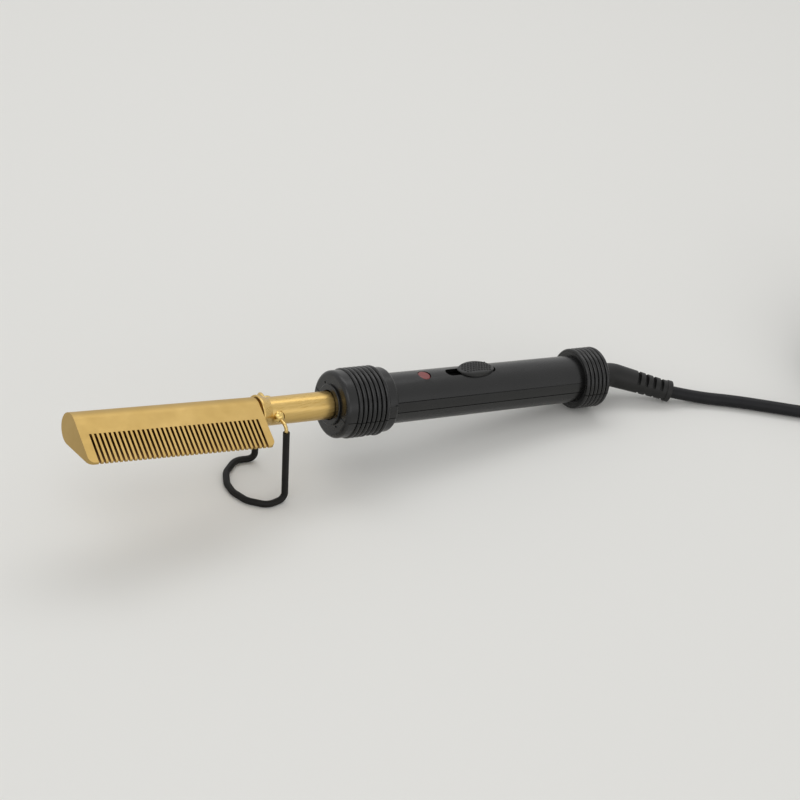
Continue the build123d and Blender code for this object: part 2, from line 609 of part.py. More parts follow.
# ---- stand: one bent wire in two eyelets, with a rubber sleeve over its legs and foot ----
def sloped_foot_contact():
    """Angle at which the sleeve's corner and the rear collar's edge touch one flat surface."""
    foot = (PIVOT_X + CORNER[0], CORNER[2])
    last_bead_x = HANDLE_LENGTH - REAR_RIB_PITCH * 0.8
    bead = (last_bead_x, RIB_BEAD_R - REAR_RIB_R)
    span = hypot(bead[0] - foot[0], bead[1] - foot[1])
    return atan2(bead[1] - foot[1], bead[0] - foot[0]) - asin((RIB_BEAD_R - SLEEVE_R) / span)


NOSE_UP = sloped_foot_contact()


def foot_point(forward, side):
    """Point of the foot, level with the corners once the comb stands."""
    return (PIVOT_X + CORNER[0] - forward * cos(NOSE_UP), side, CORNER[2] - forward * sin(NOSE_UP))


def loop_points():
    """Corner, foot and corner of the stand, from the near side to the far side."""
    near = [foot_point(0, -CORNER[1])] + [foot_point(f, -s) for f, s in FOOT_POINTS]
    far = [foot_point(f, s) for f, s in reversed(FOOT_POINTS)] + [foot_point(0, CORNER[1])]
    return near + far


def loop_bends():
    half = [CORNER_BEND] + list(FOOT_BENDS)
    return half + half[::-1]


def shoulder(side):
    return (PIVOT_X, side * SHOULDER_Y, PIVOT_Z)


def sleeve_end(side):
    """Point of the leg where the sleeve starts."""
    top = Vector(*shoulder(side))
    corner = Vector(*foot_point(0, side * CORNER[1]))
    return tuple(top + (corner - top) * SLEEVE_START)


def swept_ring(points, bends, outer_r, inner_r=0.0):
    """Round bar or tube along straight runs joined by arcs."""
    path = FilletPolyline(*points, radius=bends)
    section = Circle(outer_r)
    if inner_r:
        section = section - Circle(inner_r)
    start = Plane(origin=path @ 0, z_dir=path % 0)
    return sweep(start * section, path=path)


def stand_wire():
    ends = [(PIVOT_X, side * WIRE_END_Y, PIVOT_Z) for side in (-1, 1)]
    points = [ends[0], shoulder(-1)] + loop_points() + [shoulder(1), ends[1]]
    bends = [SHOULDER_BEND] + loop_bends() + [SHOULDER_BEND]
    return swept_ring(points, bends, WIRE_R)


def stand_sleeve():
    points = [sleeve_end(-1)] + loop_points() + [sleeve_end(1)]
    return swept_ring(points, loop_bends(), SLEEVE_R, WIRE_R + SEAT_FIT)


def eyelet_dome():
    """Domed collar along Z round the wire's hole, with a skirt down to the barrel's side."""
    dome_r = (EYELET_R ** 2 + EYELET_DOME ** 2) / (2 * EYELET_DOME)
    middle_z = BARREL_R + EYELET_DOME - dome_r
    hole_r = WIRE_R + RUN_FIT
    half_r = (EYELET_R + hole_r) / 2
    lip_z = middle_z + sqrt(dome_r ** 2 - hole_r ** 2)
    crown = ThreePointArc((EYELET_R, BARREL_R), (half_r, middle_z + sqrt(dome_r ** 2 - half_r ** 2)),
                          (hole_r, lip_z))
    wall = Polyline((hole_r, lip_z), (hole_r, 0), (EYELET_R, 0), (EYELET_R, BARREL_R))
    return revolve(Plane.XZ * make_face(wall + crown), Axis.Z)


def stand_eyelets():
    """Two domed eyelets riveted in the barrel's sides."""
    x0, x1 = PIVOT_X - 2 * EYELET_R, PIVOT_X + 2 * EYELET_R
    stem = post(BARREL_BORE_R / 2, BARREL_R, EYELET_STEM_R - SEAT_FIT)
    stem = stem - post(0, BARREL_R + 1, WIRE_R + RUN_FIT)
    eyelets = []
    for side in (-1, 1):
        place = Pos(PIVOT_X, 0, PIVOT_Z) * Rot(X=-90 * side)
        collar = place * eyelet_dome() - rod(x0, x1, BARREL_R)
        eyelets.append(collar + (place * stem - rod(x0, x1, BARREL_BORE_R)))
    return eyelets


# ---- swivel: a headed strain relief that turns in a bush ----
def swivel_bush():
    """Nylon bush in the rear wall, with a flange inside it."""
    wall_x = HANDLE_LENGTH - END_WALL
    flange_x = wall_x - BUSH_FLANGE
    bush = rod(wall_x, HANDLE_LENGTH, BUSH_R) + rod(flange_x, wall_x, BUSH_FLANGE_R)
    return bush - rod(flange_x - 1, HANDLE_LENGTH + 1, NECK_R + RUN_FIT)


def contact_block():
    """Moulded holder of the spring contacts, with a stepped bore for the turning contact."""
    end_x = HEAD_X - CLEAR
    body = rod(BLOCK_X, end_x, CAVITY_R - SEAT_FIT)
    ring_bore = rod(HEAD_X - CONTACT_RING - CLEAR, end_x + 1, CONTACT_RING_R + RUN_FIT)
    pin_bore = rod(HEAD_X - CONTACT_RING - CONTACT_PIN - CLEAR, end_x, CONTACT_PIN_R + RUN_FIT)
    return body - ring_bore - pin_bore


def swivel_contact():
    """Brass ring and pin that carry the current across the swivel."""
    ring_x = HEAD_X - CONTACT_RING
    return rod(ring_x, HEAD_X, CONTACT_RING_R) + rod(ring_x - CONTACT_PIN, ring_x, CONTACT_PIN_R)


def relief_frame(distance):
    """Place on the relief's straight part: local +Z along it, local +X out of the bend."""
    turn = radians(BEND_ANGLE)
    x = NECK_END_X + BEND_R * sin(turn) + distance * cos(turn)
    side = BEND_R * (1 - cos(turn)) + distance * sin(turn)
    return Rot(X=BEND_ROLL) * Pos(x, -side, 0) * Rot(Z=-BEND_ANGLE) * Rot(Y=90)


def strain_relief():
    """Moulded relief: head and neck in the swivel, an elbow, and a slotted tapering tail."""
    head = rod(HEAD_X, HEAD_X + HEAD_LENGTH, HEAD_R)
    neck = rod(HEAD_X + HEAD_LENGTH, NECK_END_X, NECK_R)
    section = Plane(origin=(NECK_END_X, 0, 0), z_dir=(1, 0, 0)) * Circle(NECK_R)
    hub = Axis((NECK_END_X, -BEND_R, 0), (0, 0, -1))
    elbow = Rot(X=BEND_ROLL) * revolve(section, hub, BEND_ANGLE)
    tail = Pos(0, 0, RELIEF_LENGTH / 2) * Cone(NECK_R, RELIEF_END_R, RELIEF_LENGTH)
    for i in range(RELIEF_SLOTS):
        for side, shift in ((1, 0.0), (-1, RELIEF_SLOT_PITCH / 2)):
            z = RELIEF_SLOT_START + RELIEF_SLOT_PITCH * i - shift
            x0, x1 = sorted((side * RELIEF_SPINE, side * 2 * NECK_R))
            tail = tail - block(x0, x1, -2 * NECK_R, 2 * NECK_R, z, z + RELIEF_SLOT)
    ring = Pos(0, 0, RELIEF_LENGTH - RELIEF_RING / 2) * Cylinder(RELIEF_RING_R, RELIEF_RING)
    ring = fillet(ring.edges().filter_by(GeomType.CIRCLE), RELIEF_RING / 5)
    return head + neck + elbow + relief_frame(0) * (tail + ring)


# ---- standing frame ----
def standing(pieces):
    """Turn and shift that stand the pieces on z = 0, with the origin under their middle."""
    turn = Rot(Y=degrees(NOSE_UP))
    box = Compound([turn * piece for piece in pieces]).bounding_box()
    middle = box.center()
    return Pos(-middle.X, -middle.Y, -box.min.Z) * turn


def solids_of(made):
    """List of the solids in what a function returned."""
    made = made if isinstance(made, list) else [made]
    return [solid for piece in made for solid in piece.solids()]


# ---- cord, coil and plug, drawn in the standing frame ----
CORD_Z = CORD_R + CORD_REST
COIL_TOP = COIL_LAYERS * COIL_PITCH + CORD_REST


def bend_radii(points):
    """Largest arc at each corner that its two runs allow."""
    radii = []
    for before, corner, after in zip(points, points[1:], points[2:]):
        ahead = Vector(*corner) - Vector(*before)
        beyond = Vector(*after) - Vector(*corner)
        shorter = min(ahead.length, beyond.length)
        radii.append(0.45 * shorter / tan(radians(ahead.get_angle(beyond)) / 2))
    return radii


def cord_tube(points):
    """Plain tube of the cord along its route."""
    radii = bend_radii(points)
    print("cord radii", [round(radius, 1) for radius in radii])
    return swept_ring(points, radii, CORD_R)


def cord_route(place):
    """From the strain relief's end, down to the surface and along it to the coil."""
    start = tuple((place * relief_frame(RELIEF_LENGTH)).position)
    return [start] + [(x, y, CORD_Z) for x, y in CORD_POINTS]


def tail_start():
    """Point on the top outer turn where the cord leaves it, with the ways ahead and inward."""
    radius = COIL_MIDDLE_R + COIL_PITCH * (COIL_COLUMNS - 1) / 2
    turn = radians(TAIL_ANGLE)
    outward = Vector(cos(turn), sin(turn))
    return Vector(COIL_X, COIL_Y) + outward * radius, Vector(-sin(turn), cos(turn)), -outward


def tail_route():
    """From the coil's top turn, over the coil, to the plug's boss."""
    start, ahead, inward = tail_start()
    return [tuple(start + ahead * a + inward * b + Vector(0, 0, z)) for a, b, z in TAIL_STEPS]


def coil_section(grow=0.0):
    """Section of the coil in the X-Z plane, with its corners rounded."""
    width = COIL_COLUMNS * COIL_PITCH + 2 * grow
    height = COIL_LAYERS * COIL_PITCH
    section = RectangleRounded(width, height + 2 * grow, COIL_ROUND + grow)
    return Plane.XZ * Pos(COIL_MIDDLE_R, height / 2 + CORD_REST) * section


def cord_coil():
    """Outer shape of the coiled length."""
    return Pos(COIL_X, COIL_Y, 0) * revolve(coil_section(), Axis.Z)


def coil_tie():
    """Strap round the coil."""
    arc = degrees(TIE_WIDTH / COIL_MIDDLE_R)
    outer = revolve(coil_section(TIE_THICKNESS), Axis.Z, arc)
    inner = revolve(coil_section(SEAT_FIT), Axis.Z)
    strap = Rot(Z=TIE_ANGLE) * (outer - inner)
    far = 2 * COIL_MIDDLE_R
    under = block(-far, far, -far, far, -COIL_PITCH, 0)
    return Pos(COIL_X, COIL_Y, 0) * (strap - under)


def plug_place():
    """Place of the plug on the coil: local +Y along the cord's way, local +Z towards the pins."""
    way = TAIL_ANGLE + 90 + TAIL_TURN
    x, y, _ = tail_route()[-1]
    ahead = Vector(PLUG_BOSS, 0).rotate(Axis.Z, way)
    return Pos(x + ahead.X, y + ahead.Y, COIL_TOP + PLUG_REST) * Rot(Z=way - 90)


def plug_outline():
    """Outline of the plug, cut off at the corners on the cord's side."""
    half = PLUG_WIDTH / 2
    cut = PLUG_CORNER
    sketch = make_face(Polyline((-half + cut, 0), (half - cut, 0), (half, cut), (half, PLUG_LENGTH),
                                (-half, PLUG_LENGTH), (-half, cut), close=True))
    return fillet(sketch.vertices(), PLUG_ROUND)


def pin_places():
    """Middle of each pin on the plug's face, with its size."""
    earth_y = PLUG_LENGTH - PIN_EARTH_END
    live_y = earth_y - PIN_PITCH
    return [((0.0, earth_y), (PIN_EARTH[1], PIN_EARTH[0], PIN_EARTH[2])),
            ((-PIN_PITCH / 2, live_y), (PIN_LIVE[1], PIN_LIVE[0], PIN_LIVE[2])),
            ((PIN_PITCH / 2, live_y), (PIN_LIVE[1], PIN_LIVE[0], PIN_LIVE[2]))]


def plug_cover():
    """Moulded cover with the boss that the cord enters."""
    cover = extrude(plug_outline(), PLUG_HEIGHT - PLUG_PLATE)
    cover = fillet(cover.edges().group_by(Axis.Z)[0], PLUG_ROUND)
    boss = Pos(0, PLUG_ROUND - PLUG_BOSS / 2, PLUG_HEIGHT / 2) * Rot(X=90)
    boss = boss * Cylinder(PLUG_BOSS_R, PLUG_BOSS + 2 * PLUG_ROUND)
    boss = boss & block(-PLUG_WIDTH, PLUG_WIDTH, -PLUG_BOSS, PLUG_LENGTH / 2, 0, PLUG_HEIGHT - PLUG_PLATE)
    sockets = [Pos(x, y, PLUG_HEIGHT - PLUG_PLATE) * Box(width + SEAT_FIT, length + SEAT_FIT, 2 * PIN_ROOT)
               for (x, y), (width, length, _) in pin_places()]
    (fuse_x, fuse_y) = fuse_middle()
    fuse_bed = Pos(fuse_x, fuse_y, fuse_axis_z())
    fuse_bed = fuse_bed * Box(FUSE_TUBE_LENGTH + CLEAR, 2 * FUSE_TUBE_R + CLEAR, 2 * FUSE_TUBE_R + CLEAR)
    return plug_place() * (cover + boss - sockets - fuse_bed)


def fuse_axis_z():
    return PLUG_HEIGHT - FUSE_HOLDER[2] - FUSE_TUBE_R


def fuse_middle():
    """Middle of the fuse, across the plug between the pins."""
    return 0.0, PLUG_LENGTH - PIN_EARTH_END - PIN_PITCH / 2


def plug_plate():
    """Pin plate that closes the cover, open for the pins and the fuse holder."""
    plate = Pos(0, 0, PLUG_HEIGHT - PLUG_PLATE) * extrude(plug_outline(), PLUG_PLATE)
    plate = chamfer(plate.edges().group_by(Axis.Z)[-1], PLUG_PLATE / 5)
    holes = [Pos(x, y, PLUG_HEIGHT) * Box(width + SEAT_FIT, length + SEAT_FIT, 4 * PLUG_PLATE)
             for (x, y), (width, length, _) in pin_places()]
    x, y = fuse_middle()
    length, width, thickness = FUSE_HOLDER
    window = Pos(x, y, PLUG_HEIGHT) * Box(length - CLEAR, width - CLEAR, 4 * PLUG_PLATE)
    ledge = Box(length + SEAT_FIT, width + SEAT_FIT, thickness + SEAT_FIT)
    ledge = Pos(x, y, PLUG_HEIGHT - thickness / 2) * ledge
    return plug_place() * (plate - holes - window - ledge)


def plug_pins():
    """Three flat pins with chamfered tips."""
    pins = []
    for (x, y), (width, length, height) in pin_places():
        z0 = PLUG_HEIGHT - PLUG_PLATE - PIN_ROOT
        z1 = PLUG_HEIGHT + height
        pin = Pos(x, y, (z0 + z1) / 2) * Box(width, length, z1 - z0)
        pin = chamfer(pin.edges().group_by(Axis.Z)[-1], PIN_CHAMFER)
        pins.append(plug_place() * pin)
    return pins


def fuse_holder():
    """Clip-in holder, flush with the pin plate, over the fuse."""
    x, y = fuse_middle()
    length, width, thickness = FUSE_HOLDER
    return plug_place() * Pos(x, y, PLUG_HEIGHT - thickness / 2) * Box(length, width, thickness)


def cartridge_fuse():
    """Ceramic cartridge fuse, seated under its holder."""
    x, y = fuse_middle()
    return plug_place() * Pos(x, y, fuse_axis_z()) * Rot(Y=90) * Cylinder(FUSE_TUBE_R, FUSE_TUBE_LENGTH)


OBJECT_PARTS = {
    "comb_head": comb_head,
    "heater_element": heater_element,
    "heater_insulation": heater_insulation,
    "heater_leads": heater_leads,
    "barrel_tube": barrel_tube,
    "barrel_flange": barrel_flange,
    "upper_shell": upper_shell,
    "lower_shell": lower_shell,
    "shell_screws": shell_screws,
    "circuit_board": circuit_board,
    "lamp_lens": lamp_lens,
    "neon_lamp": neon_lamp,
    "lamp_resistor": lamp_resistor,
    "thermal_fuse": thermal_fuse,
    "switch_body": switch_body,
    "switch_carriage": switch_carriage,
    "switch_knob": switch_knob,
    "stand_eyelets": stand_eyelets,
    "stand_wire": stand_wire,
    "stand_sleeve": stand_sleeve,
    "swivel_bush": swivel_bush,
    "contact_block": contact_block,
    "swivel_contact": swivel_contact,
    "strain_relief": strain_relief,
}

CORD_PARTS = {
    "cord_coil": cord_coil,
    "coil_tie": coil_tie,
    "plug_cover": plug_cover,
    "plug_plate": plug_plate,
    "plug_pins": plug_pins,
    "fuse_holder": fuse_holder,
    "cartridge_fuse": cartridge_fuse,
}


def write_node(name, solids):
    export_step(Compound(solids), f"parts/{name}.step")


made = {name: solids_of(make()) for name, make in OBJECT_PARTS.items()}
stand_up = standing([solid for solids in made.values() for solid in solids])
for name, solids in made.items():
    write_node(name, [stand_up * solid for solid in solids])
for name, make in CORD_PARTS.items():
    write_node(name, solids_of(make()))

lead_route = cord_route(stand_up)
for name, route in (("mains_cord", lead_route), ("cord_tail", tail_route())):
    tube = cord_tube(route)
    write_node(name, tube.solids())
    print(name, "volume", round(tube.volume), [tuple(round(v, 2) for v in point) for point in route])

print("nose up", round(degrees(NOSE_UP), 3))
print("handle origin", [round(v, 3) for v in (stand_up * Pos(0, 0, 0)).position])
print("pivot", [round(v, 3) for v in (stand_up * Pos(PIVOT_X, 0, PIVOT_Z)).position])
print("plug", [round(v, 3) for v in (plug_place() * Pos(0, 8, PLUG_HEIGHT)).position])
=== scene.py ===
import math

import bmesh
import bpy
from mathutils import Matrix, Vector


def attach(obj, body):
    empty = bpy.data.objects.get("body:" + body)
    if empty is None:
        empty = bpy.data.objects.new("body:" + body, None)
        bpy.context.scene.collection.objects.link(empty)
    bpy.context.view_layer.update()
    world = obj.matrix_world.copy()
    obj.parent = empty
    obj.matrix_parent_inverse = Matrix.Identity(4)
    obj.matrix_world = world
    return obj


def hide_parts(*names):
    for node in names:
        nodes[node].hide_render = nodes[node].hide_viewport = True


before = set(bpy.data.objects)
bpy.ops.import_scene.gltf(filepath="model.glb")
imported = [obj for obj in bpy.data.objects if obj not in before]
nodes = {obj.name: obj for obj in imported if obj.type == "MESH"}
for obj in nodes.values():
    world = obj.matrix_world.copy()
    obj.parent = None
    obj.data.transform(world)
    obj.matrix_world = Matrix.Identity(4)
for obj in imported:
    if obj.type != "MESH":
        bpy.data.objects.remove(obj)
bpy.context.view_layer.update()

# ---- camera ----
# The comb stands on its wire stand, seen from ahead of the handle, on the teeth's side and from above.
# The angles are those of the handle's own frame, which stands nose up on the table.
MM = 0.001
NOSE_UP = math.radians(8.509)
HANDLE_FACE = Vector((-32.457, 2.792, 39.701)) * MM
handle_place = Matrix.Translation(HANDLE_FACE) @ Matrix.Rotation(NOSE_UP, 4, "Y")

VIEW_AZIMUTH = math.radians(39.23)
VIEW_ELEVATION = math.radians(31.59)
VIEW_ROLL = math.radians(16.95)
VIEW_DISTANCE = 1.12209
FRAME_PIXELS = 800
FOCAL_PIXELS = 2277.04
FACE_PIXEL = (330.01, 404.64)       # where the middle of the handle's front face lies in the frame
SENSOR = 36.0
CLIP_START = 0.05

forward = Vector((math.sin(VIEW_AZIMUTH) * math.cos(VIEW_ELEVATION),
                  math.cos(VIEW_AZIMUTH) * math.cos(VIEW_ELEVATION), -math.sin(VIEW_ELEVATION)))
level = Vector((math.cos(VIEW_AZIMUTH), -math.sin(VIEW_AZIMUTH), 0))
right = Matrix.Rotation(-VIEW_ROLL, 3, forward) @ level
up = right.cross(forward)
across = (FACE_PIXEL[0] - FRAME_PIXELS / 2) / FOCAL_PIXELS * VIEW_DISTANCE
down = (FACE_PIXEL[1] - FRAME_PIXELS / 2) / FOCAL_PIXELS * VIEW_DISTANCE
eye = -forward * VIEW_DISTANCE - right * across + up * down

camera = bpy.data.objects.new("camera", bpy.data.cameras.new("camera"))
bpy.context.scene.collection.objects.link(camera)
camera.data.sensor_width = SENSOR
camera.data.lens = FOCAL_PIXELS / FRAME_PIXELS * SENSOR
camera.data.clip_start = CLIP_START
axes = Matrix((right, up, -forward)).transposed().to_4x4()
camera.matrix_world = handle_place @ Matrix.Translation(eye) @ axes
bpy.context.scene.camera = camera
bpy.context.scene.view_settings.view_transform = "Standard"


# ---- mains lead ----
# A round two-core PVC lead, 6.6 mm thick and 3 m long. It drops out of the strain relief onto the
# table, runs off behind the handle, and the spare length is wound in a tied coil of three by four turns.
CORD_R = 3.3 * MM
LEAD_POINTS = ((170.19, -13.76, 6.43), (184.3, -20.4, 3.45), (202.8, -30.6, 3.45), (233.2, -52.2, 3.45),
               (272.2, -78.4, 3.45))
COIL_MIDDLE = (305.3, -45.3)
COIL_RADII = (46.0, 39.4, 32.8)
LAYER_HEIGHTS = (3.45, 10.05, 16.65, 23.25)
ARRIVE_ANGLE = -123.9
LEAVE_ANGLE = -130.0
WHOLE_TURNS = 11
POINTS_A_STEP = 24
STEP_OVER = 0.8                     # share of a turn after which it moves over to the next
TUBE_UNIT = 1.0                     # tube radius in metres, which each point scales to the cord's own
TUBE_SIDES = 6                      # finish of the tube, around it and along it
TUBE_STEPS = 6
TAIL_POINTS = ((285.69, -88.89, 25.0), (302.95, -93.84, 28.6), (321.3, -88.62, 30.6),
               (333.51, -74.06, 33.2), (335.93, -56.25, 36.3), (334.17, -45.9, 36.8))


def turn_places():
    """Radius and height of each turn: inward on one layer, outward on the next."""
    places = []
    for layer, height in enumerate(LAYER_HEIGHTS):
        radii = COIL_RADII if layer % 2 == 0 else COIL_RADII[::-1]
        places.extend((radius, height) for radius in radii)
    return places


def coil_points():
    """Points of the wound length, anticlockwise from above, moving over at the end of each turn."""
    places = turn_places()
    step_angle = (LEAVE_ANGLE - ARRIVE_ANGLE + 360 * WHOLE_TURNS) / len(places)
    points = []
    for i, (radius, height) in enumerate(places):
        next_radius, next_height = places[min(i + 1, len(places) - 1)]
        for j in range(POINTS_A_STEP):
            share = j / POINTS_A_STEP
            over = max(0.0, (share - STEP_OVER) / (1 - STEP_OVER))
            over = over * over * (3 - 2 * over)
            angle = math.radians(ARRIVE_ANGLE + step_angle * (i + share))
            r = radius + (next_radius - radius) * over
            points.append((COIL_MIDDLE[0] + r * math.cos(angle), COIL_MIDDLE[1] + r * math.sin(angle),
                           height + (next_height - height) * over))
    return points


def spline_of(name, points, radius):
    """Round cord whose centreline is one smooth spline through its route."""
    curve = bpy.data.curves.new(name, "CURVE")
    curve.dimensions = "3D"
    curve.bevel_depth = TUBE_UNIT
    curve.bevel_resolution = TUBE_SIDES
    curve.use_fill_caps = True
    curve.resolution_u = TUBE_STEPS
    spline = curve.splines.new("NURBS")
    spline.points.add(len(points) - 1)
    for point, place in zip(spline.points, points):
        point.co = (*(Vector(place) * MM), 1.0)
        point.radius = radius
    spline.order_u = 3
    spline.use_endpoint_u = True
    piece = bpy.data.objects.new(name, curve)
    bpy.context.scene.collection.objects.link(piece)
    return piece


lead = spline_of("mains_lead", LEAD_POINTS + tuple(coil_points()) + TAIL_POINTS, CORD_R)
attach(lead, "lead")
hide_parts("mains_cord", "cord_coil", "cord_tail")


def linear(hex_colour):
    """sRGB hex value as a linear colour."""
    channels = [int(hex_colour[i:i + 2], 16) / 255 for i in (1, 3, 5)]
    return tuple(c / 12.92 if c <= 0.04045 else ((c + 0.055) / 1.055) ** 2.4 for c in channels) + (1.0,)


def new_material(name, colour, roughness, metallic=0.0, ior=None, gloss=0.5):
    """Material with a plain shader, and the tree to add to."""
    material = bpy.data.materials.new(name)
    material.use_nodes = True
    shader = material.node_tree.nodes["Principled BSDF"]
    shader.inputs["Base Color"].default_value = linear(colour)
    shader.inputs["Roughness"].default_value = roughness
    shader.inputs["Metallic"].default_value = metallic
    shader.inputs["Specular IOR Level"].default_value = gloss
    if ior:
        shader.inputs["IOR"].default_value = ior
    return material, material.node_tree, shader


def add_node(tree, kind, settings=(), **links):
    """Add a node; settings are its own properties and values, links are outputs or plain values."""
    node = tree.nodes.new("ShaderNode" + kind)
    for name, value in dict(settings).items():
        setattr(node, name, value)
    for name, source in links.items():
        socket = node.inputs[int(name[1:])] if name[0] == "n" and name[1:].isdigit() else node.inputs[name]
        if isinstance(source, bpy.types.NodeSocket):
            tree.links.new(source, socket)
        else:
            socket.default_value = source
    return node


def grain(tree, size_mm, detail=3.0, stretch=(1, 1, 1)):
    """Noise whose grains are size_mm across, longer by stretch along the handle's own axes."""
    place = add_node(tree, "TexCoord").outputs["Object"]
    turned = add_node(tree, "Mapping", {"vector_type": "POINT"}, Vector=place, Rotation=(0, -NOSE_UP, 0),
                      Scale=[1 / s for s in stretch])
    return add_node(tree, "TexNoise", Vector=turned.outputs[0], Scale=1 / (size_mm * MM), Detail=detail)


NOISE_SPAN = (0.3, 0.7)             # nearly all of a noise lies between these


def shade(tree, shader, noise, dark, light):
    """Colour that wanders between two hex colours with a noise; gives the colour's output."""
    ramp = add_node(tree, "ValToRGB", Fac=noise.outputs["Fac"])
    ramp.color_ramp.elements[0].position = NOISE_SPAN[0]
    ramp.color_ramp.elements[0].color = linear(dark)
    ramp.color_ramp.elements[1].position = NOISE_SPAN[1]
    ramp.color_ramp.elements[1].color = linear(light)
    tree.links.new(ramp.outputs["Color"], shader.inputs["Base Color"])
    return ramp.outputs["Color"]


def rough(tree, shader, noise, low, high):
    """Roughness that wanders between two values with a noise."""
    span = add_node(tree, "MapRange", Value=noise.outputs["Fac"])
    span.inputs["From Min"].default_value = NOISE_SPAN[0]
    span.inputs["From Max"].default_value = NOISE_SPAN[1]
    span.inputs["To Min"].default_value = low
    span.inputs["To Max"].default_value = high
    tree.links.new(span.outputs["Result"], shader.inputs["Roughness"])


def relief(tree, shader, noise, depth_mm, strength=1.0):
    """Surface bump of a real depth."""
    bump = add_node(tree, "Bump", Height=noise.outputs["Fac"], Distance=depth_mm * MM, Strength=strength)
    tree.links.new(bump.outputs["Normal"], shader.inputs["Normal"])


# PVC: flexible, extruded, dull black with a soft grey bloom where it was handled.
pvc, tree, shader = new_material("pvc_extruded", "#0f0f12", 0.44, ior=1.53, gloss=0.22)
shade(tree, shader, grain(tree, 9.0), "#0d0d10", "#131316")
rough(tree, shader, grain(tree, 3.0), 0.38, 0.5)
relief(tree, shader, grain(tree, 0.7), 0.02)
lead.data.materials.append(pvc)

# ---- table, backdrop and light ----
# One wide sheet of pale matt studio paper. Three large soft lamps, above and ahead, give plain even
# light. The camera, glass and gloss see a near-white world; the light that it gives is weaker.
FLOOR_HALF = 3.0
floor_mesh = bpy.data.meshes.new("floor")
floor_mesh.from_pydata([(-FLOOR_HALF, -FLOOR_HALF, 0), (FLOOR_HALF, -FLOOR_HALF, 0),
                        (FLOOR_HALF, FLOOR_HALF, 0), (-FLOOR_HALF, FLOOR_HALF, 0)], [], [(0, 1, 2, 3)])
floor = bpy.data.objects.new("floor", floor_mesh)
bpy.context.scene.collection.objects.link(floor)
paper = new_material("studio_paper", "#ececea", 0.85)[0]
floor_mesh.materials.append(paper)

AROUND_STRENGTH = 0.62
BACKDROP_STRENGTH = 0.9
world = bpy.context.scene.world or bpy.data.worlds.new("studio")
bpy.context.scene.world = world
world.use_nodes = True
tree = world.node_tree
tree.nodes.clear()
path = add_node(tree, "LightPath")
clear = add_node(tree, "Math", {"operation": "MAXIMUM"}, n0=path.outputs["Is Camera Ray"],
                 n1=path.outputs["Is Transmission Ray"])
seen = add_node(tree, "Math", {"operation": "MAXIMUM"}, n0=clear.outputs[0], n1=path.outputs["Is Glossy Ray"])
around = add_node(tree, "Background", Color=linear("#f7f6f3"), Strength=AROUND_STRENGTH)
behind = add_node(tree, "Background", Color=linear("#ffffff"), Strength=BACKDROP_STRENGTH)
mixed = add_node(tree, "MixShader", Fac=seen.outputs[0], n1=around.outputs[0], n2=behind.outputs[0])
add_node(tree, "OutputWorld", Surface=mixed.outputs[0])

LAMP_TARGET = (0.0, 0.0, 0.03)


def soft_lamp(name, place, size, watts):
    """White rectangular soft box aimed at the middle of the object."""
    light = bpy.data.lights.new(name, "AREA")
    light.shape = "RECTANGLE"
    light.size, light.size_y = size
    light.energy = watts
    lamp = bpy.data.objects.new(name, light)
    lamp.location = place
    lamp.rotation_mode = "QUATERNION"
    lamp.rotation_quaternion = (Vector(LAMP_TARGET) - Vector(place)).to_track_quat("-Z", "Y")
    bpy.context.scene.collection.objects.link(lamp)


soft_lamp("key_lamp", (-0.55, -0.45, 1.05), (0.9, 0.6), 2.2)
soft_lamp("top_lamp", (0.25, 0.5, 1.1), (1.2, 0.5), 3.2)
soft_lamp("front_lamp", (0.1, -1.2, 0.45), (1.4, 0.5), 1.4)

# ---- comb ----
# Die-cast brass, blasted to a satin and lacquered: a pale warm gold whose light spreads softly.
# The slots were sawn after casting; their walls and roots are painted dark brown, as painted shade deep in
# the narrow slots.
COMB_REAR = Vector((-43.4, 0, 0)) * MM
COMB_RISE = math.radians(1.4)
COMB_ROLL = math.radians(4.0)
SLOT_ROW = (-91.95, 45.0)           # along the comb: middle of the sawn row and half its length, mm
SLOT_DEPTH = (-17.4, 7.25)          # the same, sideways
WALL_FACING = 0.6                   # a slot's wall faces this much along the comb, or more
ROOT_FACING = -0.85                 # a slot's root faces this much sideways, or more


def dress(material, *names):
    """Give CAD nodes a material."""
    for name in names:
        slots = nodes[name].data.materials
        slots.clear()
        slots.append(material)


brass_cast, tree, shader = new_material("brass_die_cast_blasted", "#b99c60", 0.46, metallic=1.0)
cast_colour = shade(tree, shader, grain(tree, 22.0, detail=2.0), "#b5985c", "#bc9f64")
rough(tree, shader, grain(tree, 5.0), 0.42, 0.52)
relief(tree, shader, grain(tree, 0.8, detail=6.0), 0.03, 0.6)
# Painted shade: faces in the sawn row that face along the comb (slot walls) or sideways down (slot roots) are
# mixed to dark brown.
where = add_node(tree, "TexCoord")
comb_turn = Matrix.Rotation(COMB_ROLL, 4, "X") @ Matrix.Rotation(COMB_RISE, 4, "Y")
comb_place = handle_place @ Matrix.Translation(COMB_REAR) @ comb_turn @ Matrix.Translation(-COMB_REAR)
along = add_node(tree, "Mapping", {"vector_type": "TEXTURE"}, Vector=where.outputs["Object"],
                 Location=comb_place.translation, Rotation=comb_place.to_euler())
place = add_node(tree, "SeparateXYZ", Vector=along.outputs[0])
lengthways = add_node(tree, "VectorMath", {"operation": "DOT_PRODUCT"}, n0=where.outputs["Normal"],
                      n1=comb_place.col[0].to_3d())
sideways = add_node(tree, "SeparateXYZ", Vector=where.outputs["Normal"])
wall_slope = add_node(tree, "Math", {"operation": "ABSOLUTE"}, n0=lengthways.outputs["Value"])
walls = add_node(tree, "Math", {"operation": "GREATER_THAN"}, n0=wall_slope.outputs[0], n1=WALL_FACING)
roots = add_node(tree, "Math", {"operation": "LESS_THAN"}, n0=sideways.outputs["Y"], n1=ROOT_FACING)
sawn = add_node(tree, "Math", {"operation": "MAXIMUM"}, n0=walls.outputs[0], n1=roots.outputs[0])
